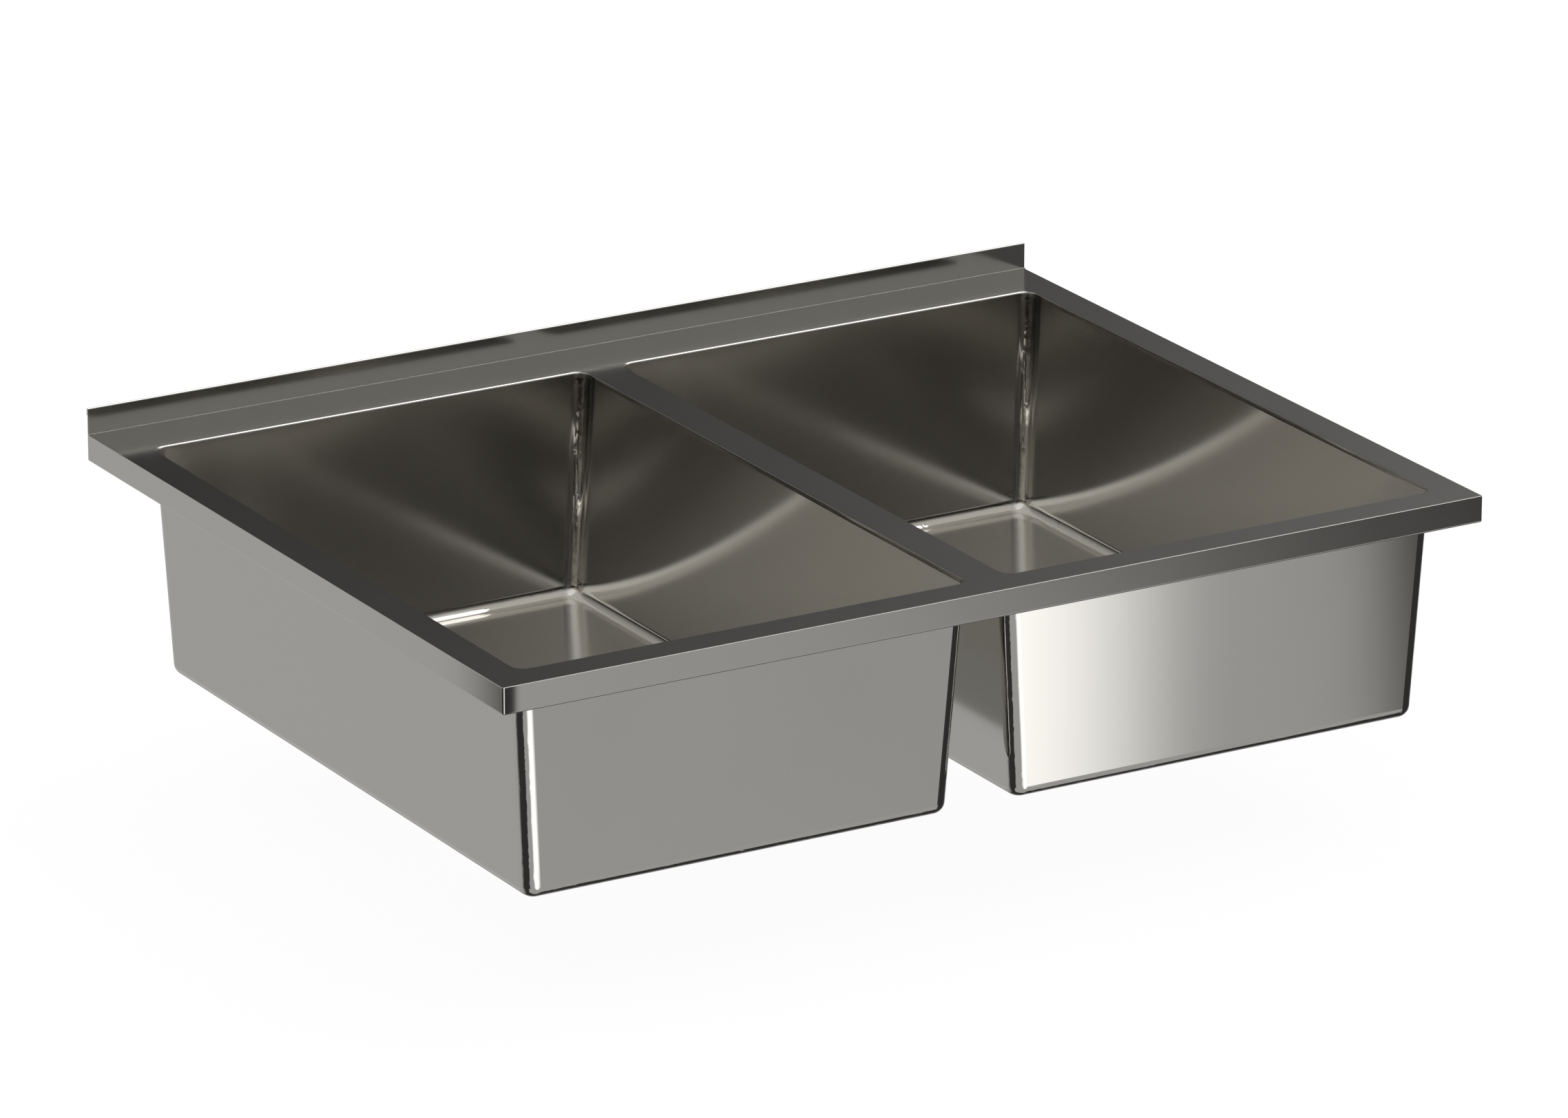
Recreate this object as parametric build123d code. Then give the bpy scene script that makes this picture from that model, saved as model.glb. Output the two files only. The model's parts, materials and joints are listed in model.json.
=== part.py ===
from build123d import *
import os
from math import cos, pi, radians, tan

# Sit-on kitchen sink with two bowls, in millimetres.
# X runs along the sink, Y runs to the back, Z runs up. The origin is the centre
# of the four fixing holes, in the plane where the rim rests on the cabinet.
# The left half is modelled, and the right half is its mirror image.

# Folded deck
SHEET = 1.0
DECK_LENGTH = 800.0
DECK_DEPTH = 625.0
RIM_HEIGHT = 20.5
LIP_WIDTH = 10.0
FOLD_INSIDE = 0.5
UPSTAND_HEIGHT = 20.0
HEM_HEIGHT = 5.5
COLLAR_DEPTH = 4.0

# Bowls, measured on their outer faces in the plane of the deck's top
SIDE_STRIP = 25.0
FRONT_STRIP = 25.0
DIVIDER_WIDTH = 28.5
BACK_STRIP = 52.0
BOWL_DEPTH = 172.5
SIDE_DRAFT = 3.1
DIVIDER_DRAFT = 4.1
FRONT_DRAFT = 1.75
BOWL_SHEET = 1.0
BOWL_CORNER = 11.0
FLOOR_CORNER = 9.0

# Pressed seat for the waste in each bowl's floor
SEAT_DEPTH = 3.0
SEAT_ROOM = 3.0

# Stiffeners, fixing plates and earth tag
DIVIDER_CHANNEL_CLEARANCE = 4.25
DIVIDER_CHANNEL_HEIGHT = 15.0
DIVIDER_CHANNEL_SHORTER = 30.0
CHANNEL_SHEET = 1.2
REAR_CHANNEL_LEAF = 14.0
REAR_CHANNEL_LIP = 8.0
WELD_CLEARANCE = 0.3
PLATE_THICKNESS = 1.5
PLATE_CLEARANCE = 1.0
FIXING_HOLE_RADIUS = 2.5
TAG_WIDTH = 16.0
TAG_ABOVE_REST = 2.5
TAG_LEAF = 12.0
TAG_LUG = 16.0
TAG_SHEET = 1.2
TAG_HOLE_RADIUS = 2.65
TAG_X = 215.0

# Sound-damping pads
PAD_MARGIN = 45.0
PAD_THICKNESS = 2.0
PAD_CORNER = 20.0
PAD_HOLE_CLEARANCE = 5.0

# Strainer cup
STRAINER_SHEET = 1.0
CUP_RADIUS = 42.5
CUP_DEPTH = 34.0
CUP_FIT = 1.5
FLANGE_OVERLAP = 12.0
CUP_MOUTH_ROUND = 2.0
CUP_HOLE_RADIUS = 5.0
CUP_HOLES = 8
DISH_ROOM = 3.0
HEAD_SINK = 2.0

# Seals and waste body
FLANGE_SEAL_THICKNESS = 1.0
BODY_SEAL_THICKNESS = 3.0
SEAL_OVERHANG = 1.0
BODY_WALL = 3.5
BODY_FLANGE_WIDTH = 11.0
BODY_FLANGE_THICKNESS = 4.0
BODY_CONE_LENGTH = 22.0
BODY_ROOM = 1.8
BODY_FLOOR_ROOM = 3.0
BODY_ROOT_ROUND = 1.5
CONE_ROUND = 4.0
OUTLET_ROUND = 2.0
EDGE_ROUND = 0.8
OUTLET_RADIUS = 23.9
OUTLET_WALL = 3.9
OUTLET_LENGTH = 20.0
BOSS_WALL = 3.4
BOSS_LENGTH = 15.0
WEB_THICKNESS = 3.0
WEB_LENGTH = 10.0
WEB_COUNT = 3

# Clamp screw and nut
SCREW_RADIUS = 4.0
SCREW_TAIL = 3.0
SCREW_HEAD_RADIUS = 6.5
SCREW_HEAD_HEIGHT = 4.0
SCREW_SLOT_WIDTH = 1.6
SCREW_SLOT_DEPTH = 1.8
SCREW_CLEARANCE = 0.3
NUT_ACROSS_FLATS = 13.0
NUT_HEIGHT = 6.5
NUT_CLEARANCE = 0.1

# Lift-out basket
BASKET_SHEET = 0.8
BASKET_CLEARANCE = 1.7
BASKET_DEPTH = 26.0
BASKET_RIM_WIDTH = 2.4
BASKET_TAPER = 5.4
BASKET_FLOOR_ROUND = 4.0
BASKET_HOLE_RADIUS = 1.7
BASKET_FIRST_RING = 12.5
BASKET_RING_STEP = 7.0
BASKET_HOLE_STEP = 7.8
SLOT_COUNT = 20
SLOT_WIDTH = 2.2
SLOT_MARGIN = 6.0
STOPPER_RADIUS = 30.0
STOPPER_THICKNESS = 4.0
STOPPER_REST_GAP = 0.3
POST_RADIUS = 3.0
POST_CLEARANCE = 0.1
POST_SHOULDER_RADIUS = 5.5
POST_HEIGHT = 29.0
KNOB_RADIUS = 9.0
KNOB_HEIGHT = 7.0
KNOB_TAPER = 1.0
KNOB_ROUND = 1.5
POST_FOOT_RADIUS = 6.0
POST_FOOT_HEIGHT = 1.2

# Radii that the pieces share
FOLD_OUTSIDE = FOLD_INSIDE + SHEET
CUP_OUTSIDE = CUP_RADIUS + STRAINER_SHEET
WASTE_HOLE_RADIUS = CUP_OUTSIDE + CUP_FIT
FLANGE_RADIUS = WASTE_HOLE_RADIUS + FLANGE_OVERLAP
SEAT_RADIUS = FLANGE_RADIUS + SEAT_ROOM
DISH_RADIUS = SCREW_HEAD_RADIUS + DISH_ROOM
CUP_HOLE_CIRCLE = (DISH_RADIUS + STOPPER_RADIUS) / 2
OUTLET_INSIDE = OUTLET_RADIUS - OUTLET_WALL
BODY_INSIDE = CUP_OUTSIDE + BODY_ROOM
BODY_OUTSIDE = BODY_INSIDE + BODY_WALL
BOSS_RADIUS = NUT_ACROSS_FLATS / 2 / cos(radians(30)) + BOSS_WALL
BASKET_RIM_RADIUS = CUP_RADIUS - BASKET_CLEARANCE
BASKET_WALL_RADIUS = BASKET_RIM_RADIUS - BASKET_RIM_WIDTH
BASKET_FLOOR_RADIUS = BASKET_WALL_RADIUS - BASKET_TAPER

# Heights that the pieces share
DECK_TOP = RIM_HEIGHT
DECK_UNDERSIDE = DECK_TOP - SHEET
COLLAR_END = DECK_TOP - COLLAR_DEPTH
BOWL_UNDERSIDE = DECK_TOP - BOWL_DEPTH
FLOOR_TOP = BOWL_UNDERSIDE + BOWL_SHEET
SEAT_TOP = FLOOR_TOP - SEAT_DEPTH
SEAT_UNDERSIDE = SEAT_TOP - BOWL_SHEET
FLANGE_UNDERSIDE = SEAT_TOP + FLANGE_SEAL_THICKNESS
FLANGE_TOP = FLANGE_UNDERSIDE + STRAINER_SHEET
CUP_FLOOR = FLANGE_TOP - CUP_DEPTH
DISH_FLOOR = CUP_FLOOR - SCREW_HEAD_HEIGHT - HEAD_SINK
DISH_UNDERSIDE = DISH_FLOOR - STRAINER_SHEET
BODY_TOP = SEAT_UNDERSIDE - BODY_SEAL_THICKNESS
CONE_TOP = CUP_FLOOR - STRAINER_SHEET - BODY_FLOOR_ROOM
OUTLET_TOP = CONE_TOP - BODY_CONE_LENGTH
OUTLET_END = OUTLET_TOP - OUTLET_LENGTH
BOSS_END = DISH_UNDERSIDE - BOSS_LENGTH
STOPPER_BOTTOM = CUP_FLOOR + STOPPER_REST_GAP
STOPPER_TOP = STOPPER_BOTTOM + STOPPER_THICKNESS
BASKET_FLOOR_TOP = STOPPER_TOP + BASKET_SHEET
BASKET_RIM = STOPPER_TOP + BASKET_DEPTH

# Planes that the pieces share
DECK_FRONT = -DECK_DEPTH / 2
DECK_BACK = DECK_DEPTH / 2
UPSTAND_BACK = DECK_BACK - SHEET
UPSTAND_FRONT = UPSTAND_BACK - SHEET
REAR_WEB_BACK = UPSTAND_BACK - FOLD_OUTSIDE - WELD_CLEARANCE
REAR_LEAF_FRONT = REAR_WEB_BACK - REAR_CHANNEL_LEAF
INNER_FOLD = SHEET + FOLD_INSIDE + WELD_CLEARANCE

OVERRUN = 1.0


def block(x0, x1, y0, y1, z0, z1):
    """A box between two corners."""
    centre = Pos((x0 + x1) / 2, (y0 + y1) / 2, (z0 + z1) / 2)
    return centre * Box(x1 - x0, y1 - y0, z1 - z0)


def disc(radius, z0, z1):
    """A cylinder on the Z axis between two heights."""
    return Pos(0, 0, (z0 + z1) / 2) * Cylinder(radius, z1 - z0)


def turned(*corners):
    """A solid of revolution about Z; each corner is (radius, height, rounding)."""
    points = [(radius, height) for radius, height, rounding in corners]
    roundings = [rounding for radius, height, rounding in corners]
    outline = FilletPolyline(*points, radius=roundings, close=True)
    return revolve(Plane.XZ * make_face(outline), Axis.Z)


def ring_of(piece, count, radius, z=0.0):
    """Copies of a piece, evenly spaced on a circle about Z."""
    return [Rot(0, 0, 360 * k / count) * Pos(radius, 0, z) * piece for k in range(count)]


def flat_at(piece, height, span):
    """The edges of a piece that lie at one height inside a box in plan."""
    x0, x1, y0, y1 = span
    level = piece.edges().filter_by_position(Axis.Z, height - 0.01, height + 0.01)
    inside = [e for e in level if x0 < e.center().X < x1 and y0 < e.center().Y < y1]
    return ShapeList(inside)


def bowl_sides(height, inset):
    """Left, right, front and back of the left bowl's outline at one height."""
    drop = DECK_TOP - height
    left = -DECK_LENGTH / 2 + SIDE_STRIP + drop * tan(radians(SIDE_DRAFT)) + inset
    right = -DIVIDER_WIDTH / 2 - drop * tan(radians(DIVIDER_DRAFT)) - inset
    taper = drop * tan(radians(FRONT_DRAFT))
    front = DECK_FRONT + FRONT_STRIP + taper + inset
    back = DECK_BACK - BACK_STRIP - taper - inset
    return left, right, front, back


def bowl_outline(height, inset):
    """The left bowl's sharp-cornered outline at one height."""
    left, right, front, back = bowl_sides(height, inset)
    centre = Pos((left + right) / 2, (front + back) / 2, height)
    return centre * Rectangle(right - left, back - front)


def bowl_form(low, high, inset):
    """The left bowl's tapered body between two heights, its four upright corners rounded."""
    form = loft([bowl_outline(low, inset), bowl_outline(high, inset)], ruled=True)
    upright = [e for e in form.edges() if e.bounding_box().size.Z > (high - low) / 2]
    return fillet(upright, BOWL_CORNER - inset)


def drain_centre():
    """Middle of the left bowl's floor."""
    left, right, front, back = bowl_sides(FLOOR_TOP, BOWL_SHEET)
    return Pos((left + right) / 2, (front + back) / 2, 0)


def make_rim():
    """Deck sheet with the three turned-down sides and their inward lips, open at the back."""
    half = DECK_LENGTH / 2
    skin = block(-half, half, DECK_FRONT, UPSTAND_BACK, 0, DECK_TOP)
    outer_folds = [e for e in skin.edges() if e.center().Y < UPSTAND_BACK - OVERRUN]
    skin = fillet(outer_folds, FOLD_OUTSIDE)
    inner_y = DECK_BACK + OVERRUN
    room = block(-half + SHEET, half - SHEET, DECK_FRONT + SHEET, inner_y, SHEET, DECK_UNDERSIDE)
    inner_folds = [e for e in room.edges() if e.center().Y < inner_y - OVERRUN]
    room = fillet(inner_folds, FOLD_INSIDE)
    inside = half - LIP_WIDTH
    mouth = block(-inside, inside, DECK_FRONT + LIP_WIDTH, inner_y, -OVERRUN, SHEET + FOLD_INSIDE)
    lip_back = REAR_LEAF_FRONT - WELD_CLEARANCE
    rear_mouth = block(-half + SHEET, half - SHEET, lip_back, inner_y, -OVERRUN, SHEET + FOLD_INSIDE)
    return skin - room - mouth - rear_mouth


def make_upstand():
    """Upstand folded up from the deck's back edge, with a closed hem behind its top."""
    top = DECK_TOP + UPSTAND_HEIGHT
    root = UPSTAND_FRONT - FOLD_OUTSIDE
    bend = [
        (root, DECK_UNDERSIDE),
        (UPSTAND_BACK, DECK_UNDERSIDE),
        (UPSTAND_BACK, top - SHEET),
        (UPSTAND_FRONT, top - SHEET),
        (UPSTAND_FRONT, DECK_TOP),
        (root, DECK_TOP),
    ]
    roundings = [0, FOLD_OUTSIDE, 0, 0, FOLD_INSIDE, 0]
    strip = make_face(FilletPolyline(*bend, radius=roundings, close=True))
    hem_middle = top - SHEET - (HEM_HEIGHT - SHEET) / 2
    hem = Pos(UPSTAND_BACK, hem_middle) * Rectangle(2 * SHEET, HEM_HEIGHT - SHEET)
    crown = Pos(UPSTAND_BACK, top - SHEET) * Circle(SHEET)
    section = Plane.YZ.offset(-DECK_LENGTH / 2) * (strip + hem + crown)
    return extrude(section, DECK_LENGTH, dir=(1, 0, 0))


def make_deck():
    """The whole folded deck: rim, upstand and both openings with their turned-down collars."""
    half = DECK_LENGTH / 2
    back_corner = block(
        -half + SHEET, half - SHEET, UPSTAND_FRONT, DECK_BACK, DECK_UNDERSIDE - OVERRUN, DECK_TOP
    )
    deck = make_rim() - back_corner + make_upstand()
    collar = bowl_form(COLLAR_END, DECK_UNDERSIDE, 0)
    opening = bowl_form(COLLAR_END - OVERRUN, DECK_TOP + OVERRUN, BOWL_SHEET)
    deck = deck + collar + mirror(collar, about=Plane.YZ)
    deck = deck - opening - mirror(opening, about=Plane.YZ)
    left, right, front, back = bowl_sides(DECK_TOP, -OVERRUN)
    spans = ((left, right, front, back), (-right, -left, front, back))
    top_edges = ShapeList([e for span in spans for e in flat_at(deck, DECK_TOP, span)])
    deck = fillet(top_edges, FOLD_OUTSIDE)
    under_edges = ShapeList([e for span in spans for e in flat_at(deck, DECK_UNDERSIDE, span)])
    return fillet(under_edges, FOLD_INSIDE)


def make_bowl():
    """The left bowl: a pressed shell with a sunk seat and a hole for its waste."""
    outside = bowl_form(BOWL_UNDERSIDE, COLLAR_END, 0)
    outside = fillet(outside.faces().sort_by(Axis.Z)[0].edges(), FLOOR_CORNER)
    inside = bowl_form(FLOOR_TOP, COLLAR_END + OVERRUN, BOWL_SHEET)
    inside = fillet(inside.faces().sort_by(Axis.Z)[0].edges(), FLOOR_CORNER - BOWL_SHEET)
    seat_outside = drain_centre() * disc(SEAT_RADIUS + BOWL_SHEET, SEAT_UNDERSIDE, FLOOR_TOP)
    seat_room = turned(
        (0, SEAT_TOP, 0),
        (SEAT_RADIUS - SEAT_DEPTH / 2, SEAT_TOP, SEAT_DEPTH / 4),
        (SEAT_RADIUS, FLOOR_TOP, SEAT_DEPTH / 4),
        (SEAT_RADIUS + SEAT_DEPTH, FLOOR_TOP, 0),
        (SEAT_RADIUS + SEAT_DEPTH, FLOOR_TOP + OVERRUN, 0),
        (0, FLOOR_TOP + OVERRUN, 0),
    )
    waste_hole = disc(WASTE_HOLE_RADIUS, SEAT_UNDERSIDE - OVERRUN, FLOOR_TOP + OVERRUN)
    return outside + seat_outside - inside - drain_centre() * (seat_room + waste_hole)


def make_divider_stiffener():
    """Channel welded under the strip between the bowls, open side down."""
    half_width = DIVIDER_WIDTH / 2 - DIVIDER_CHANNEL_CLEARANCE
    front, back = bowl_sides(DECK_TOP, DIVIDER_CHANNEL_SHORTER)[2:]
    bottom = DECK_UNDERSIDE - DIVIDER_CHANNEL_HEIGHT
    bar = block(-half_width, half_width, front, back, bottom, DECK_UNDERSIDE)
    bar = fillet(bar.edges().filter_by(Axis.Y).group_by(Axis.Z)[-1], FOLD_INSIDE + CHANNEL_SHEET)
    inner = half_width - CHANNEL_SHEET
    room_top = DECK_UNDERSIDE - CHANNEL_SHEET
    room = block(-inner, inner, front - OVERRUN, back + OVERRUN, bottom - OVERRUN, room_top)
    room = fillet(room.edges().filter_by(Axis.Y).group_by(Axis.Z)[-1], FOLD_INSIDE)
    return bar - room


def make_rear_stiffener():
    """Channel welded under the deck's back edge; its lower lip rests on the cabinet."""
    half = DECK_LENGTH / 2 - INNER_FOLD
    outside = FOLD_INSIDE + CHANNEL_SHEET
    web_front = REAR_WEB_BACK - CHANNEL_SHEET
    lip_front = REAR_WEB_BACK - REAR_CHANNEL_LIP
    corners = [
        (REAR_LEAF_FRONT, DECK_UNDERSIDE, 0),
        (REAR_WEB_BACK, DECK_UNDERSIDE, outside),
        (REAR_WEB_BACK, 0, outside),
        (lip_front, 0, 0),
        (lip_front, CHANNEL_SHEET, 0),
        (web_front, CHANNEL_SHEET, FOLD_INSIDE),
        (web_front, DECK_UNDERSIDE - CHANNEL_SHEET, FOLD_INSIDE),
        (REAR_LEAF_FRONT, DECK_UNDERSIDE - CHANNEL_SHEET, 0),
    ]
    points = [(y, z) for y, z, rounding in corners]
    roundings = [rounding for y, z, rounding in corners]
    section = make_face(FilletPolyline(*points, radius=roundings, close=True))
    return extrude(Plane.YZ.offset(-half) * section, 2 * half, dir=(1, 0, 0))


def make_fixing_plate(side_x, side_y):
    """Corner plate on the rim's lips; its pad reaches down to the cabinet and has the screw hole."""
    hole_x = DECK_LENGTH / 2 - (LIP_WIDTH + SIDE_STRIP) / 2
    hole_y = DECK_DEPTH / 2 - (LIP_WIDTH + FRONT_STRIP) / 2
    inner_x = DECK_LENGTH / 2 - SIDE_STRIP + PLATE_CLEARANCE
    inner_y = DECK_DEPTH / 2 - FRONT_STRIP + PLATE_CLEARANCE
    outer_x = DECK_LENGTH / 2 - INNER_FOLD
    pad_x = DECK_LENGTH / 2 - LIP_WIDTH - WELD_CLEARANCE
    if side_y < 0:
        outer_y = DECK_DEPTH / 2 - INNER_FOLD
        pad_y = DECK_DEPTH / 2 - LIP_WIDTH - WELD_CLEARANCE
        bottom = SHEET
    else:
        outer_y = REAR_WEB_BACK - CHANNEL_SHEET - FOLD_INSIDE - WELD_CLEARANCE
        pad_y = REAR_WEB_BACK - REAR_CHANNEL_LIP - WELD_CLEARANCE
        bottom = CHANNEL_SHEET
    top = bottom + PLATE_THICKNESS
    plate = block(inner_x, outer_x, inner_y, outer_y, bottom, top)
    pad = block(inner_x, pad_x, inner_y, pad_y, 0, top)
    hole = Pos(hole_x, hole_y, 0) * disc(FIXING_HOLE_RADIUS, -OVERRUN, top + OVERRUN)
    plate = plate + pad - hole
    if side_y < 0:
        plate = mirror(plate, about=Plane.XZ)
    if side_x < 0:
        plate = mirror(plate, about=Plane.YZ)
    return plate


def make_earth_tag():
    """Bonding lug on a stepped bracket under the deck, behind the right bowl."""
    front = (bowl_sides(DECK_TOP, 0)[3] + REAR_LEAF_FRONT - TAG_WIDTH) / 2
    back = front + TAG_WIDTH
    lug_top = TAG_ABOVE_REST + TAG_SHEET
    lug = block(TAG_X - TAG_LUG, TAG_X + TAG_SHEET, front, back, TAG_ABOVE_REST, lug_top)
    lug = fillet(lug.edges().filter_by(Axis.Z).group_by(Axis.X)[0], TAG_WIDTH / 4)
    web = block(TAG_X, TAG_X + TAG_SHEET, front, back, TAG_ABOVE_REST, DECK_UNDERSIDE)
    leaf = block(TAG_X, TAG_X + TAG_LEAF, front, back, DECK_UNDERSIDE - TAG_SHEET, DECK_UNDERSIDE)
    hole = disc(TAG_HOLE_RADIUS, TAG_ABOVE_REST - OVERRUN, lug_top + OVERRUN)
    return lug + web + leaf - Pos(TAG_X - TAG_LUG / 2, (front + back) / 2, 0) * hole


def make_damping_pad():
    """Rubbery pad stuck under the left bowl's floor, round the waste seat."""
    bottom = BOWL_UNDERSIDE - PAD_THICKNESS
    left, right, front, back = bowl_sides(BOWL_UNDERSIDE, PAD_MARGIN)
    outline = RectangleRounded(right - left, back - front, PAD_CORNER)
    pad = extrude(Pos(0, 0, bottom) * outline, PAD_THICKNESS)
    hole_radius = SEAT_RADIUS + BOWL_SHEET + PAD_HOLE_CLEARANCE
    hole = disc(hole_radius, bottom - OVERRUN, BOWL_UNDERSIDE + OVERRUN)
    return drain_centre() * (pad - hole)


def make_strainer_cup():
    """Flanged cup that the basket sits in, with outlet holes and a dish for the clamp screw."""
    wall = STRAINER_SHEET
    cup = turned(
        (FLANGE_RADIUS, FLANGE_UNDERSIDE, 0),
        (FLANGE_RADIUS, FLANGE_TOP, wall / 2),
        (CUP_RADIUS, FLANGE_TOP, CUP_MOUTH_ROUND),
        (CUP_RADIUS, CUP_FLOOR, CUP_MOUTH_ROUND),
        (DISH_RADIUS, CUP_FLOOR, wall),
        (DISH_RADIUS, DISH_FLOOR, wall),
        (0, DISH_FLOOR, 0),
        (0, DISH_UNDERSIDE, 0),
        (DISH_RADIUS + wall, DISH_UNDERSIDE, 2 * wall),
        (DISH_RADIUS + wall, CUP_FLOOR - wall, 0),
        (CUP_OUTSIDE, CUP_FLOOR - wall, CUP_MOUTH_ROUND + wall),
        (CUP_OUTSIDE, FLANGE_UNDERSIDE, CUP_FIT / 2),
    )
    drain_hole = disc(CUP_HOLE_RADIUS, CUP_FLOOR - 2 * wall, CUP_FLOOR + wall)
    screw_hole = disc(SCREW_RADIUS + SCREW_CLEARANCE, DISH_UNDERSIDE - wall, DISH_FLOOR + wall)
    return cup - screw_hole - ring_of(drain_hole, CUP_HOLES, CUP_HOLE_CIRCLE)


def make_flange_seal():
    """Thin seal between the strainer cup's flange and the bowl."""
    outside = disc(FLANGE_RADIUS - SEAL_OVERHANG, SEAT_TOP, FLANGE_UNDERSIDE)
    return outside - disc(WASTE_HOLE_RADIUS, SEAT_TOP, FLANGE_UNDERSIDE)


def make_body_seal():
    """Thick seal between the bowl's underside and the waste body."""
    outside = disc(BODY_INSIDE + BODY_FLANGE_WIDTH, BODY_TOP, SEAT_UNDERSIDE)
    return outside - disc(BODY_INSIDE, BODY_TOP, SEAT_UNDERSIDE)


def make_waste_body():
    """Moulded body under the bowl, with its outlet spigot and a webbed boss for the clamp nut."""
    flange_radius = BODY_INSIDE + BODY_FLANGE_WIDTH
    flange_bottom = BODY_TOP - BODY_FLANGE_THICKNESS
    shell = turned(
        (BODY_INSIDE, BODY_TOP, 0),
        (flange_radius, BODY_TOP, EDGE_ROUND),
        (flange_radius, flange_bottom, EDGE_ROUND),
        (BODY_OUTSIDE, flange_bottom, BODY_ROOT_ROUND),
        (BODY_OUTSIDE, CONE_TOP, CONE_ROUND),
        (OUTLET_RADIUS, OUTLET_TOP, OUTLET_ROUND),
        (OUTLET_RADIUS, OUTLET_END, EDGE_ROUND),
        (OUTLET_INSIDE, OUTLET_END, EDGE_ROUND),
        (OUTLET_INSIDE, OUTLET_TOP, OUTLET_ROUND),
        (BODY_INSIDE, CONE_TOP, CONE_ROUND),
    )
    web_top = DISH_UNDERSIDE - STRAINER_SHEET
    web_reach = BODY_INSIDE + BODY_WALL / 2
    web = block(0, web_reach, -WEB_THICKNESS / 2, WEB_THICKNESS / 2, web_top - WEB_LENGTH, web_top)
    hollow = disc(BODY_OUTSIDE - BODY_WALL / 2, web_top - WEB_LENGTH, web_top)
    boss = disc(BOSS_RADIUS, BOSS_END, DISH_UNDERSIDE)
    body = shell + boss
    for arm in ring_of(web, WEB_COUNT, 0):
        body = body + (arm & hollow & cone_limit())
    screw_hole = disc(SCREW_RADIUS + SCREW_CLEARANCE, BOSS_END - OVERRUN, DISH_UNDERSIDE + OVERRUN)
    return body - screw_hole - nut_form(NUT_CLEARANCE, BOSS_END - OVERRUN)


def cone_limit():
    """Solid inside the middle of the waste body's wall, which ends its webs."""
    middle = BODY_WALL / 2
    return turned(
        (0, BODY_TOP, 0),
        (BODY_INSIDE + middle, BODY_TOP, 0),
        (BODY_INSIDE + middle, CONE_TOP, 0),
        (OUTLET_INSIDE + middle, OUTLET_TOP, 0),
        (0, OUTLET_TOP, 0),
    )


def nut_form(clearance, bottom):
    """Hexagon of the clamp nut, from a chosen bottom to the top of the nut's pocket."""
    flat_radius = NUT_ACROSS_FLATS / 2 + clearance
    outline = RegularPolygon(flat_radius, 6, major_radius=False)
    return extrude(Pos(0, 0, bottom) * outline, BOSS_END + NUT_HEIGHT - bottom)


def make_clamp_nut():
    """Brass nut in the boss's hexagonal pocket."""
    bore = disc(SCREW_RADIUS + NUT_CLEARANCE, BOSS_END - OVERRUN, BOSS_END + NUT_HEIGHT + OVERRUN)
    return nut_form(0, BOSS_END) - bore


def make_clamp_screw():
    """Slotted screw that pulls the strainer cup and the waste body together."""
    head_top = DISH_FLOOR + SCREW_HEAD_HEIGHT
    tip = BOSS_END - SCREW_TAIL
    screw = turned(
        (0, tip, 0),
        (SCREW_RADIUS, tip, EDGE_ROUND),
        (SCREW_RADIUS, DISH_FLOOR, 0),
        (SCREW_HEAD_RADIUS, DISH_FLOOR, 0),
        (SCREW_HEAD_RADIUS, head_top, SCREW_HEAD_HEIGHT / 4),
        (0, head_top, 0),
    )
    half = SCREW_SLOT_WIDTH / 2
    reach = SCREW_HEAD_RADIUS + OVERRUN
    slot = block(-reach, reach, -half, half, head_top - SCREW_SLOT_DEPTH, head_top + OVERRUN)
    return screw - slot


def make_basket():
    """Perforated cup that catches scraps."""
    wall = BASKET_SHEET
    cup = turned(
        (0, STOPPER_TOP, 0),
        (BASKET_FLOOR_RADIUS, STOPPER_TOP, BASKET_FLOOR_ROUND),
        (BASKET_WALL_RADIUS, BASKET_RIM - wall, wall),
        (BASKET_RIM_RADIUS, BASKET_RIM - wall, 0),
        (BASKET_RIM_RADIUS, BASKET_RIM, wall / 2),
        (BASKET_WALL_RADIUS - wall, BASKET_RIM, 2 * wall),
        (BASKET_FLOOR_RADIUS - wall, BASKET_FLOOR_TOP, BASKET_FLOOR_ROUND - wall),
        (0, BASKET_FLOOR_TOP, 0),
    )
    drill = disc(BASKET_HOLE_RADIUS, STOPPER_TOP - OVERRUN, BASKET_FLOOR_TOP + OVERRUN)
    holes = []
    radius = BASKET_FIRST_RING
    while radius + BASKET_HOLE_RADIUS < BASKET_FLOOR_RADIUS - BASKET_FLOOR_ROUND:
        holes += ring_of(drill, round(2 * pi * radius / BASKET_HOLE_STEP), radius)
        radius += BASKET_RING_STEP
    slot_bottom = BASKET_FLOOR_TOP + SLOT_MARGIN
    slot_top = BASKET_RIM - SLOT_MARGIN
    slot_middle = (slot_bottom + slot_top) / 2
    slot_shape = SlotOverall(slot_top - slot_bottom, SLOT_WIDTH, rotation=90)
    slot = extrude(Plane.YZ * slot_shape, BASKET_RIM_RADIUS - BASKET_FLOOR_RADIUS / 2)
    slots = ring_of(slot, SLOT_COUNT, BASKET_FLOOR_RADIUS / 2, slot_middle)
    post_hole = disc(POST_RADIUS + POST_CLEARANCE, STOPPER_TOP - OVERRUN, BASKET_FLOOR_TOP + OVERRUN)
    return cup - post_hole - holes - slots


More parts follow.
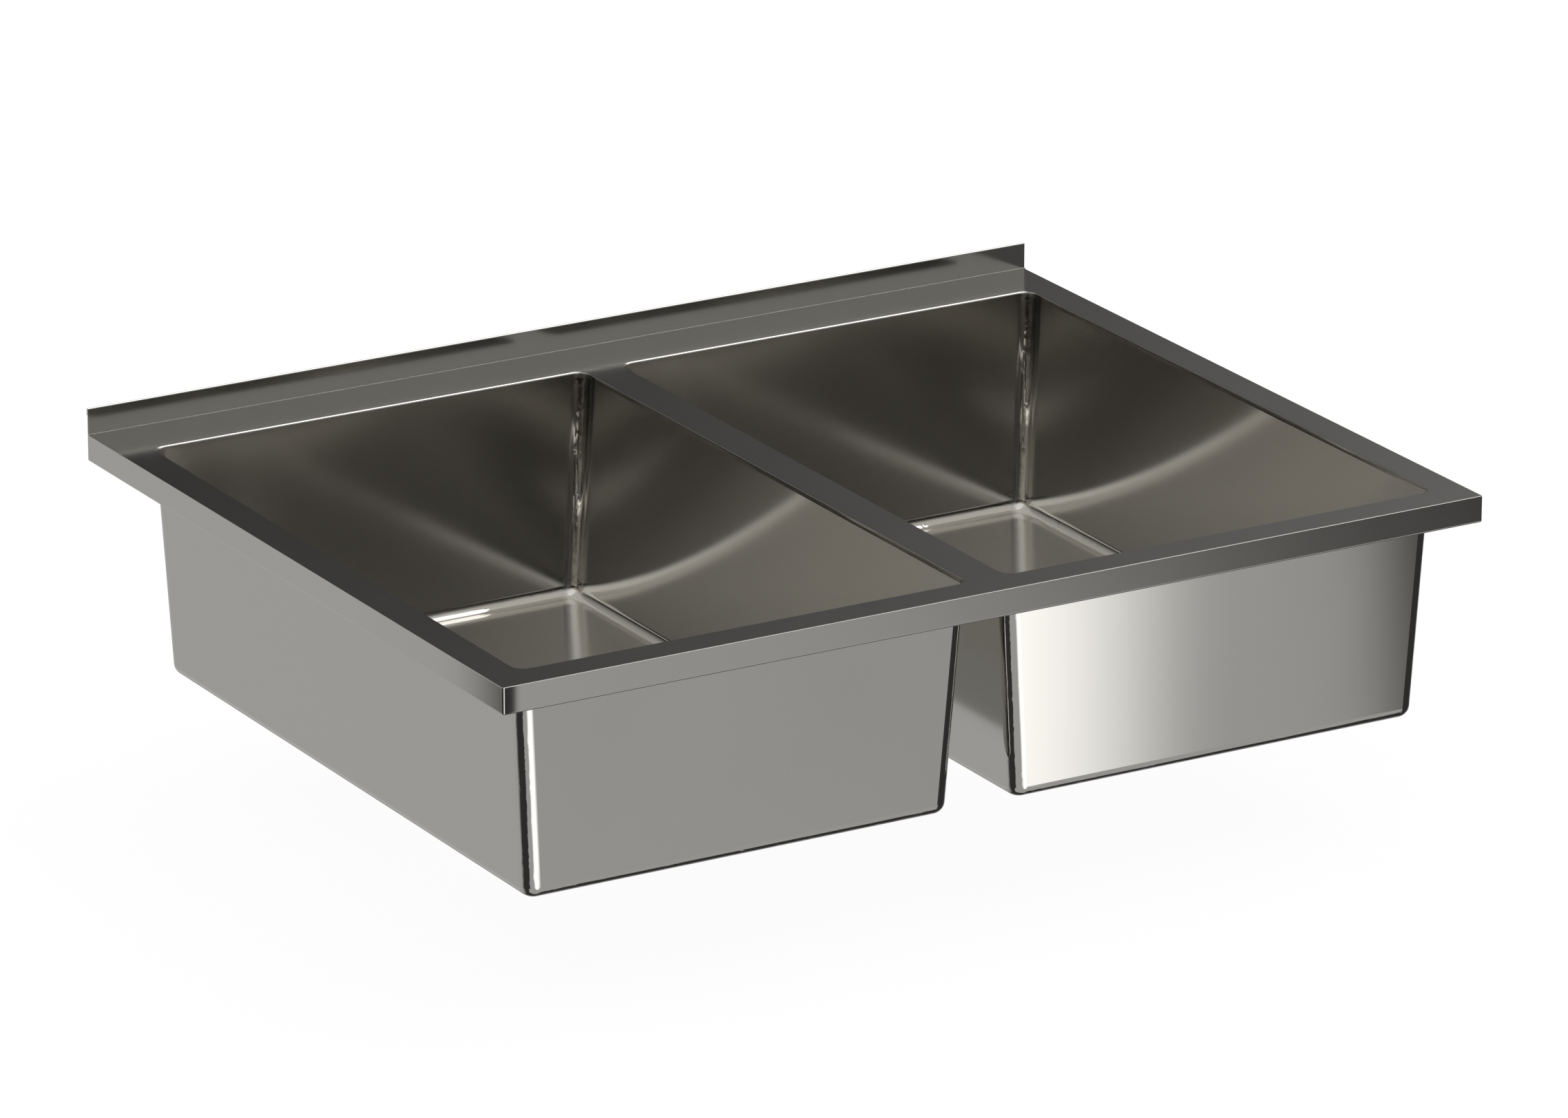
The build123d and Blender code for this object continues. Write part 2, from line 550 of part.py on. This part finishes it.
def make_basket_stopper():
    """Rubber disc under the basket that closes the strainer cup's outlet holes."""
    lip = STOPPER_THICKNESS / 2
    return turned(
        (POST_RADIUS + POST_CLEARANCE, STOPPER_TOP, 0),
        (STOPPER_RADIUS - lip, STOPPER_TOP, EDGE_ROUND),
        (STOPPER_RADIUS, STOPPER_BOTTOM + lip / 2, lip / 4),
        (STOPPER_RADIUS, STOPPER_BOTTOM, 0),
        (STOPPER_RADIUS - lip, STOPPER_BOTTOM, 0),
        (STOPPER_RADIUS - 2 * lip, STOPPER_BOTTOM + lip / 2, lip / 4),
        (POST_FOOT_RADIUS + POST_CLEARANCE, STOPPER_BOTTOM + lip / 2, 0),
        (POST_FOOT_RADIUS + POST_CLEARANCE, STOPPER_BOTTOM + POST_FOOT_HEIGHT, 0),
        (POST_RADIUS + POST_CLEARANCE, STOPPER_BOTTOM + POST_FOOT_HEIGHT, 0),
    )


def make_basket_post():
    """Turned post with a knob, riveted through the basket and its stopper."""
    knob_bottom = BASKET_FLOOR_TOP + POST_HEIGHT - KNOB_HEIGHT
    knob_top = BASKET_FLOOR_TOP + POST_HEIGHT
    return turned(
        (0, STOPPER_BOTTOM, 0),
        (POST_FOOT_RADIUS, STOPPER_BOTTOM, POST_FOOT_HEIGHT / 4),
        (POST_FOOT_RADIUS, STOPPER_BOTTOM + POST_FOOT_HEIGHT, 0),
        (POST_RADIUS, STOPPER_BOTTOM + POST_FOOT_HEIGHT, 0),
        (POST_RADIUS, BASKET_FLOOR_TOP, 0),
        (POST_SHOULDER_RADIUS, BASKET_FLOOR_TOP, 0),
        (POST_RADIUS, BASKET_FLOOR_TOP + POST_SHOULDER_RADIUS, KNOB_ROUND),
        (POST_RADIUS, knob_bottom, KNOB_ROUND),
        (KNOB_RADIUS, knob_bottom + KNOB_HEIGHT / 3, KNOB_ROUND),
        (KNOB_RADIUS - KNOB_TAPER, knob_top, KNOB_ROUND),
        (0, knob_top, 0),
    )


def save(node, piece):
    """Write one piece to its own file."""
    export_step(piece, f"parts/{node}.step")


os.makedirs("parts", exist_ok=True)

save("deck", make_deck())
save("divider_stiffener", make_divider_stiffener())
save("rear_stiffener", make_rear_stiffener())
save("earth_tag", make_earth_tag())

for end, side_y in (("front", -1), ("rear", 1)):
    for side, side_x in (("left", -1), ("right", 1)):
        save(f"{end}_{side}_fixing_plate", make_fixing_plate(side_x, side_y))

left_pieces = {
    "bowl": make_bowl(),
    "damping_pad": make_damping_pad(),
    "strainer_cup": drain_centre() * make_strainer_cup(),
    "flange_seal": drain_centre() * make_flange_seal(),
    "body_seal": drain_centre() * make_body_seal(),
    "waste_body": drain_centre() * make_waste_body(),
    "clamp_nut": drain_centre() * make_clamp_nut(),
    "clamp_screw": drain_centre() * make_clamp_screw(),
    "basket": drain_centre() * make_basket(),
    "basket_stopper": drain_centre() * make_basket_stopper(),
    "basket_post": drain_centre() * make_basket_post(),
}

for name, piece in left_pieces.items():
    save(f"left_{name}", piece)
    save(f"right_{name}", mirror(piece, about=Plane.YZ))
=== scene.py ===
import json
from math import cos, radians, sin

import bpy
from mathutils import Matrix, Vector


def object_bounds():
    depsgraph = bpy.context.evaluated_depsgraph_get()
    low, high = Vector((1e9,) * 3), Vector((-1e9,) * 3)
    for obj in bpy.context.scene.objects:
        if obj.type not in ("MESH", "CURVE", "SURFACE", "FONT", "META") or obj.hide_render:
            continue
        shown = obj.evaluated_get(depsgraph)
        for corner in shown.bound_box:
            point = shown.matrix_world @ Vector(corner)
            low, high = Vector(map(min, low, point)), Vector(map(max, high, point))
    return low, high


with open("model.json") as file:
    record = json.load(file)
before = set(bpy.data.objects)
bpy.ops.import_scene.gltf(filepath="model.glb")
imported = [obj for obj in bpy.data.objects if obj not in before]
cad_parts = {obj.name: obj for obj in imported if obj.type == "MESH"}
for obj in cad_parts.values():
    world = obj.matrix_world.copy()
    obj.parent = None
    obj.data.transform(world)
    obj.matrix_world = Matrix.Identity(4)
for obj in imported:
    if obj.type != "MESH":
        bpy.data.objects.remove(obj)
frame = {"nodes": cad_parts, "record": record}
cad_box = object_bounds()

# Camera at the photograph's viewing angle
CAMERA_PLACE = (-3.4571, -5.8831, 2.3306)
CAMERA_TURN = (70.754, -0.080, -30.443)
CAMERA_LENS = 229.4
CAMERA_SENSOR = 36.0
CAMERA_REACH = 200

# Floor under the outlets
FLOOR_GAP = 0.002
FLOOR_RADIUS = 40.0
FLOOR_SIDES = 64
FLOOR_GREY = 0.05
FLOOR_GLOW = 0.96

# Grain of the steel: stretch of its pattern along the axes, and depth in metres
ALONG_X = (3, 900, 900)
ALONG_Y = (900, 3, 900)
ALL_ROUND = (500, 500, 500)
EVEN = (1, 1, 1)
FINE_GRAIN = 0.000002
BOWL_GRAIN = 0.0000004

# Broad unevenness of the steel's roughness
UNEVEN_SCALE = 9.0
UNEVEN_SHIFT = 0.08
NOISE_LOW = 0.25
NOISE_HIGH = 0.75

# Pressed corners: how square to an axis a flat face is, and the share of its roughness that a corner has
CORNER_SQUARE = 0.98
FLAT_SQUARE = 0.995
CORNER_SHARE = 0.35

# Thread of the outlets, metres
THREAD_TOP = -0.2145
THREAD_PITCH = 0.0022
THREAD_DEPTH = 0.0006

# Deck, metres
DECK_SIDE = 0.4
DECK_FRONT = -0.3125
DECK_TOP = 0.0205
OPENING_BACK = 0.2605

# Folds round the deck's top: half width in metres, and the rise of the normal at which they turn
FOLD_WIDTH = 0.002
FOLD_TURN = 0.6
FOLD_SPREAD = 0.15
FOLD_LEAST_RISE = -0.01

# Bowls: inside faces, metres
BOWL_MIDDLE = 0.196
BOWL_SIDE = 0.179
BOWL_FRONT = -0.285
BOWL_BACK = 0.258
BOWL_FLOOR = -0.151
MIDDLE_HEIGHT = -0.065

# A face belongs to a wall between these shares of the wall's facing
WALL_NONE = 0.75
WALL_FULL = 0.98

# Leans of the bowls' walls at their corners, degrees: along the wall, upwards
RIGHT_LEANS = {
    "left": {"high_start": (0, -20)},
    "right": {"high_start": (0, -15)},
}
FRONT_LEANS = {
    "left": {},
    "right": {"low_start": (-11, 0), "high_start": (-11, 0), "low_end": (1.5, 0), "high_end": (1.5, 0)},
}

# Leans of the deck's rim and upstand at their ends, degrees: along the wall, upwards
LEFT_RIM_LEAN = (-25, 0)
LEFT_RIM_LEAN_END = -0.1
FRONT_RIM_LEANS = ((0, -2), (0, 1))
FRONT_CORNER_LEAN = (10, 0)
FRONT_CORNER_END = -0.385
UPSTAND_LEAN = (0, 3)
UPSTAND_FOOT = 0.001

STEEL = (0.62, 0.605, 0.57)

# Soft glows of the studio: azimuth, elevation, inner and outer half angle, strength
GLOWS = {
    "right": (95, 40, 25, 54, 0.75),
    "window": (95, 58, 8, 26, 2.2),
    "front low": (-5, -45, 38, 42, 0.43),
    "front low core": (0, -25, 5, 22, 1.3),
    "left low": (215, -22, 20, 45, 0.46),
    "front high": (20, 25, 15, 42, 0.25),
    "left high": (290, 60, 20, 60, 0.9),
    "back high": (200, 55, 10, 45, 0.4),
    "back low": (150, -28, 18, 40, 0.3),
}
AMBIENT = 0.04


# Node helpers

def number(tree, operation, *values):
    """A math node on links or constants."""
    node = tree.nodes.new("ShaderNodeMath")
    node.operation = operation
    for socket, value in zip(node.inputs, values):
        if isinstance(value, (int, float)):
            socket.default_value = value
        else:
            tree.links.new(value, socket)
    return node.outputs["Value"]


def vector(tree, operation, first, second=None, scale=None):
    """A vector math node on links or constants."""
    node = tree.nodes.new("ShaderNodeVectorMath")
    node.operation = operation
    for socket, value in ((node.inputs[0], first), (node.inputs[1], second)):
        if isinstance(value, (tuple, Vector)):
            socket.default_value = value
        elif value is not None:
            tree.links.new(value, socket)
    if scale is not None:
        tree.links.new(scale, node.inputs["Scale"])
    return node.outputs["Value" if operation == "DOT_PRODUCT" else "Vector"]


def ramp(tree, value, start, end, kind="LINEAR", low=0.0, high=1.0):
    """Low at start, high at end, clamped."""
    node = tree.nodes.new("ShaderNodeMapRange")
    node.interpolation_type = kind
    node.inputs["From Min"].default_value = start
    node.inputs["From Max"].default_value = end
    node.inputs["To Min"].default_value = low
    node.inputs["To Max"].default_value = high
    tree.links.new(value, node.inputs["Value"])
    return node.outputs["Result"]


def axes_of(tree, value):
    """The X, Y and Z of a vector."""
    node = tree.nodes.new("ShaderNodeSeparateXYZ")
    tree.links.new(value, node.inputs["Vector"])
    return node.outputs


def own_place(tree):
    """Position and normal in the object's own axes."""
    node = tree.nodes.new("ShaderNodeTexCoord")
    return node.outputs["Object"], node.outputs["Normal"]


def noise(tree, stretch, scale, detail=2.0):
    """A noise texture on object coordinates that are stretched along the axes."""
    mapping = tree.nodes.new("ShaderNodeMapping")
    mapping.inputs["Scale"].default_value = stretch
    tree.links.new(own_place(tree)[0], mapping.inputs["Vector"])
    node = tree.nodes.new("ShaderNodeTexNoise")
    node.inputs["Scale"].default_value = scale
    node.inputs["Detail"].default_value = detail
    tree.links.new(mapping.outputs["Vector"], node.inputs["Vector"])
    return node.outputs["Fac"]


def bump(tree, height, distance, below=None):
    """A bump from a height, on top of another bump's normal if there is one."""
    node = tree.nodes.new("ShaderNodeBump")
    node.inputs["Distance"].default_value = distance
    tree.links.new(height, node.inputs["Height"])
    if below is not None:
        tree.links.new(below, node.inputs["Normal"])
    return node.outputs["Normal"]


# Shapes of the reflecting surface

def burnished_corners(tree, roughness):
    """Less roughness where the sheet is pressed round a corner than on its flat faces."""
    facing = axes_of(tree, vector(tree, "ABSOLUTE", own_place(tree)[1]))
    squarest = number(tree, "MAXIMUM", number(tree, "MAXIMUM", facing["X"], facing["Y"]), facing["Z"])
    share = ramp(tree, squarest, CORNER_SQUARE, FLAT_SQUARE, low=CORNER_SHARE)
    return number(tree, "MULTIPLY", roughness, share)


def crisp_fold(tree, position, normal):
    """Tightens the deck's folds, apart from the openings' back edges, which stay round.

    The turn from level to upright fills only a thin line.
    """
    place, facing = axes_of(tree, position), axes_of(tree, normal)
    level = ramp(tree, facing["Z"], FOLD_TURN - FOLD_SPREAD, FOLD_TURN + FOLD_SPREAD, "SMOOTHSTEP")
    upright = vector(tree, "NORMALIZE", vector(tree, "MULTIPLY", normal, (1, 1, 0)))
    flat = tree.nodes.new("ShaderNodeCombineXYZ")
    tree.links.new(level, flat.inputs["Z"])
    upright_part = vector(tree, "SCALE", upright, scale=number(tree, "SUBTRACT", 1.0, level))
    tight = vector(tree, "ADD", upright_part, flat.outputs["Vector"])
    near = number(tree, "COMPARE", place["Z"], DECK_TOP, FOLD_WIDTH)
    above = number(tree, "GREATER_THAN", facing["Z"], FOLD_LEAST_RISE)
    round_edge = number(tree, "COMPARE", place["Y"], OPENING_BACK, FOLD_WIDTH)
    elsewhere = number(tree, "SUBTRACT", 1.0, round_edge)
    here = number(tree, "MULTIPLY", number(tree, "MULTIPLY", near, above), elsewhere)
    change = vector(tree, "SUBTRACT", tight, normal)
    return vector(tree, "ADD", normal, vector(tree, "SCALE", change, scale=here))


def corner_shares(tree, wall, place):
    """How much each corner of a wall counts at a place.

    Between the corners the wall has two flat halves and a crease.
    """
    along = ramp(tree, place[wall["axis"]], *wall["ends"])
    up = ramp(tree, place["Z"], *wall["heights"])
    names = ("low_start", "low_end", "high_start", "high_end")
    if wall["falls"]:
        along = number(tree, "SUBTRACT", 1.0, along)
        names = ("low_end", "low_start", "high_end", "high_start")
    low = number(tree, "MINIMUM", along, up)
    high = number(tree, "MAXIMUM", along, up)
    more = number(tree, "SUBTRACT", along, up)
    near_start = number(tree, "SUBTRACT", 1.0, high)
    below_crease = number(tree, "MAXIMUM", more, 0.0)
    above_crease = number(tree, "MAXIMUM", number(tree, "MULTIPLY", more, -1.0), 0.0)
    return dict(zip(names, (near_start, below_crease, above_crease, low)))


def drawn_walls(walls, folded=False):
    """The warp of the pressed sheet: towards its corners a wall's reflecting normal leans.

    A wall is its facing, a point in the shell's middle, whether the face looks inwards, the axis along it
    with its two ends, the bottom and top height, whether its crease falls, and the leans at its corners.
    """
    def surface(tree):
        position, normal = own_place(tree)
        place = axes_of(tree, position)
        leaned = crisp_fold(tree, position, normal) if folded else normal
        for wall in walls:
            square = vector(tree, "DOT_PRODUCT", normal, wall["facing"])
            flat = ramp(tree, square, WALL_NONE, WALL_FULL, "SMOOTHSTEP")
            from_middle = vector(tree, "SUBTRACT", position, wall["middle"])
            out = vector(tree, "DOT_PRODUCT", from_middle, wall["facing"])
            side = number(tree, "LESS_THAN" if wall["inside"] else "GREATER_THAN", out, 0.0)
            mask = number(tree, "MULTIPLY", flat, side)
            shares = corner_shares(tree, wall, place)
            for corner, (sideways, upwards) in wall["leans"].items():
                way = Vector((0, 0, radians(upwards)))
                way["XYZ".index(wall["axis"])] = radians(sideways)
                share = number(tree, "MULTIPLY", shares[corner], mask)
                leaned = vector(tree, "ADD", leaned, vector(tree, "SCALE", way, scale=share))
        turn = tree.nodes.new("ShaderNodeVectorTransform")
        turn.vector_type = "NORMAL"
        turn.convert_from = "OBJECT"
        turn.convert_to = "WORLD"
        tree.links.new(leaned, turn.inputs["Vector"])
        return vector(tree, "NORMALIZE", turn.outputs["Vector"])
    return surface


def outlet_thread(tree):
    """The normal of the trap's thread, cut round the outlet below its root."""
    height = axes_of(tree, own_place(tree)[0])["Z"]
    turns = number(tree, "MULTIPLY", height, 1 / THREAD_PITCH)
    ridge = number(tree, "PINGPONG", turns, 0.5)
    below = number(tree, "LESS_THAN", height, THREAD_TOP)
    return bump(tree, number(tree, "MULTIPLY", ridge, below), 2 * THREAD_DEPTH)


# Materials

def new_material(name):
    """An empty node material; returns it with its node tree and its shader."""
    material = bpy.data.materials.new(name)
    material.use_nodes = True
    tree = material.node_tree
    return material, tree, tree.nodes["Principled BSDF"]


def sheet_steel(name, colour, roughness, grain, grain_depth, surface=None, pressed=False):
    """Rolled metal with a fine grain; surface gives the normal under the grain."""
    material, tree, shader = new_material(name)
    shader.inputs["Base Color"].default_value = (*colour, 1)
    shader.inputs["Metallic"].default_value = 1.0
    uneven = ramp(tree, noise(tree, EVEN, UNEVEN_SCALE), NOISE_LOW, NOISE_HIGH,
                  low=(1 - UNEVEN_SHIFT) * roughness, high=(1 + UNEVEN_SHIFT) * roughness)
    tree.links.new(burnished_corners(tree, uneven) if pressed else uneven, shader.inputs["Roughness"])
    below = surface(tree) if surface else None
    grained = bump(tree, noise(tree, grain, 1.0, detail=3.0), grain_depth, below)
    tree.links.new(grained, shader.inputs["Normal"])
    return material


def moulded(name, colour, roughness, speckle_scale, depth, shift=0.06, surface=None):
    """Plastic or rubber with a faint speckle in its colour and a fine surface texture."""
    material, tree, shader = new_material(name)
    speckle = noise(tree, EVEN, speckle_scale, detail=4.0)
    mix = tree.nodes.new("ShaderNodeMix")
    mix.data_type = "RGBA"
    mix.inputs["A"].default_value = (*[c * (1 - shift) for c in colour], 1)
    mix.inputs["B"].default_value = (*[min(1, c * (1 + shift)) for c in colour], 1)
    tree.links.new(speckle, mix.inputs["Factor"])
    tree.links.new(mix.outputs["Result"], shader.inputs["Base Color"])
    shader.inputs["Roughness"].default_value = roughness
    below = surface(tree) if surface else None
    tree.links.new(bump(tree, speckle, depth, below), shader.inputs["Normal"])
    return material


def bowl_walls(side, centre):
    """The walls of one bowl that lean: right wall inside, front wall outside."""
    across = (centre - BOWL_SIDE, centre + BOWL_SIDE)
    right = {"facing": (-1, 0, 0), "inside": True, "axis": "Y", "ends": (BOWL_FRONT, BOWL_BACK),
             "leans": RIGHT_LEANS[side]}
    front = {"facing": (0, -1, 0), "inside": False, "axis": "X", "ends": across, "leans": FRONT_LEANS[side]}
    shared = {"middle": (centre, 0, MIDDLE_HEIGHT), "heights": (BOWL_FLOOR, DECK_TOP), "falls": True}
    return [{**wall, **shared} for wall in (right, front)]


def rim_wall(facing, axis, ends, start_lean, end_lean=(0, 0)):
    """An outer wall of the deck's rim; it leans the same at its bottom and its top."""
    leans = {"low_start": start_lean, "high_start": start_lean, "low_end": end_lean, "high_end": end_lean}
    return {"facing": facing, "middle": (0, 0, 0), "inside": False, "axis": axis, "ends": ends,
            "heights": (0, DECK_TOP), "falls": False, "leans": leans}


def deck_walls():
    """The walls of the deck that lean: upstand, left rim, front rim and the front rim's left corner."""
    upstand = {"facing": (0, -1, 0), "middle": (0, 0, 0), "inside": True, "axis": "X",
               "ends": (-DECK_SIDE, DECK_SIDE), "heights": (DECK_TOP, DECK_TOP + UPSTAND_FOOT),
               "falls": False, "leans": {"high_start": UPSTAND_LEAN, "high_end": UPSTAND_LEAN}}
    left_rim = rim_wall((-1, 0, 0), "Y", (DECK_FRONT, LEFT_RIM_LEAN_END), LEFT_RIM_LEAN)
    front_rim = rim_wall((0, -1, 0), "X", (-DECK_SIDE, DECK_SIDE), *FRONT_RIM_LEANS)
    front_corner = rim_wall((0, -1, 0), "X", (-DECK_SIDE, FRONT_CORNER_END), FRONT_CORNER_LEAN)
    return [upstand, left_rim, front_rim, front_corner]


materials = {
    "deck_steel": sheet_steel("deck satin steel", STEEL, 0.14, ALONG_X, FINE_GRAIN,
                              drawn_walls(deck_walls(), folded=True)),
    "left_bowl": sheet_steel("left bowl satin steel", STEEL, 0.13, ALL_ROUND, BOWL_GRAIN,
                             drawn_walls(bowl_walls("left", -BOWL_MIDDLE)), pressed=True),
    "right_bowl": sheet_steel("right bowl satin steel", STEEL, 0.13, ALL_ROUND, BOWL_GRAIN,
                              drawn_walls(bowl_walls("right", BOWL_MIDDLE)), pressed=True),
    "stiffener_steel": sheet_steel("rolled steel", (0.55, 0.55, 0.54), 0.34, ALONG_X, 2 * FINE_GRAIN),
    "tag_brass": sheet_steel("tag brass", (0.72, 0.55, 0.28), 0.3, ALONG_Y, 2 * FINE_GRAIN),
    "damping_pad": moulded("damping pad", (0.035, 0.035, 0.037), 0.85, 260, 0.0004, 0.3),
    "strainer_steel": sheet_steel("strainer steel", (0.62, 0.61, 0.59), 0.16, ALL_ROUND, FINE_GRAIN),
    "seal_rubber": moulded("seal rubber", (0.03, 0.03, 0.03), 0.6, 400, 0.0001, 0.2),
    "waste_plastic": moulded("waste plastic", (0.8, 0.8, 0.78), 0.42, 300, 0.00005, 0.02, outlet_thread),
    "nut_brass": sheet_steel("nut brass", (0.72, 0.55, 0.28), 0.25, ALL_ROUND, 2 * FINE_GRAIN),
    "screw_steel": sheet_steel("screw steel", (0.6, 0.6, 0.58), 0.25, ALL_ROUND, 2 * FINE_GRAIN),
    "basket_steel": sheet_steel("basket steel", (0.62, 0.61, 0.59), 0.12, ALL_ROUND, FINE_GRAIN),
    "stopper_rubber": moulded("stopper rubber", (0.028, 0.028, 0.028), 0.5, 400, 0.0001, 0.2),
    "post_chrome": sheet_steel("post chrome", (0.75, 0.75, 0.75), 0.05, ALL_ROUND, FINE_GRAIN / 4),
}

slots = {part["node"]: part["material_slot"] for part in frame["record"]["subparts"]}
for node, piece in frame["nodes"].items():
    for place in piece.material_slots:
        place.material = materials.get(node, materials.get(slots[node]))


# Light

def direction(azimuth, elevation):
    """Unit vector towards an azimuth, counted from the front to the right, and an elevation."""
    level = cos(radians(elevation))
    return Vector((sin(radians(azimuth)) * level, -cos(radians(azimuth)) * level, sin(radians(elevation))))


world = bpy.data.worlds.new("studio")
bpy.context.scene.world = world
world.use_nodes = True
sky = world.node_tree
background = sky.nodes["Background"]
background.inputs["Color"].default_value = (1, 1, 1, 1)
towards = sky.nodes.new("ShaderNodeTexCoord").outputs["Generated"]
light = None
for name, (azimuth, elevation, inner, outer, strength) in GLOWS.items():
    facing = vector(sky, "DOT_PRODUCT", towards, direction(azimuth, elevation))
    glow = ramp(sky, facing, cos(radians(outer)), cos(radians(inner)), "SMOOTHSTEP", high=strength)
    glow.node.label = name
    light = glow if light is None else number(sky, "ADD", light, glow)
light = number(sky, "ADD", light, AMBIENT)

# The camera sees plain white behind the sink
seen = sky.nodes.new("ShaderNodeLightPath")
plain = sky.nodes.new("ShaderNodeMix")
plain.inputs["B"].default_value = 1.0
sky.links.new(seen.outputs["Is Camera Ray"], plain.inputs["Factor"])
sky.links.new(light, plain.inputs["A"])
sky.links.new(plain.outputs["Result"], background.inputs["Strength"])


# Floor: pale from above, clear from below, and not mirrored in the steel

bpy.ops.object.select_all(action="DESELECT")
bpy.ops.mesh.primitive_circle_add(vertices=FLOOR_SIDES, radius=FLOOR_RADIUS, fill_type="NGON",
                                  location=(0, 0, cad_box[0].z - FLOOR_GAP))
floor = bpy.context.active_object
floor.name = "floor"
bpy.ops.object.transform_apply(location=True)
floor.visible_glossy = False
floor_material, tree, shader = new_material("pale floor")
shader.inputs["Base Color"].default_value = (FLOOR_GREY, FLOOR_GREY, FLOOR_GREY, 1)
shader.inputs["Roughness"].default_value = 1.0
shader.inputs["Specular IOR Level"].default_value = 0.0
shader.inputs["Emission Color"].default_value = (1, 1, 1, 1)
shader.inputs["Emission Strength"].default_value = FLOOR_GLOW
side = tree.nodes.new("ShaderNodeNewGeometry")
clear = tree.nodes.new("ShaderNodeBsdfTransparent")
either = tree.nodes.new("ShaderNodeMixShader")
tree.links.new(side.outputs["Backfacing"], either.inputs["Fac"])
tree.links.new(shader.outputs["BSDF"], either.inputs[1])
tree.links.new(clear.outputs["BSDF"], either.inputs[2])
tree.links.new(either.outputs["Shader"], tree.nodes["Material Output"].inputs["Surface"])
floor.data.materials.append(floor_material)


# Camera

camera_data = bpy.data.cameras.new("camera")
camera_data.lens = CAMERA_LENS
camera_data.sensor_width = CAMERA_SENSOR
camera_data.clip_end = CAMERA_REACH
camera = bpy.data.objects.new("camera", camera_data)
bpy.context.scene.collection.objects.link(camera)
camera.location = CAMERA_PLACE
camera.rotation_euler = [radians(angle) for angle in CAMERA_TURN]
bpy.context.scene.camera = camera
bpy.context.scene.view_settings.view_transform = "Standard"
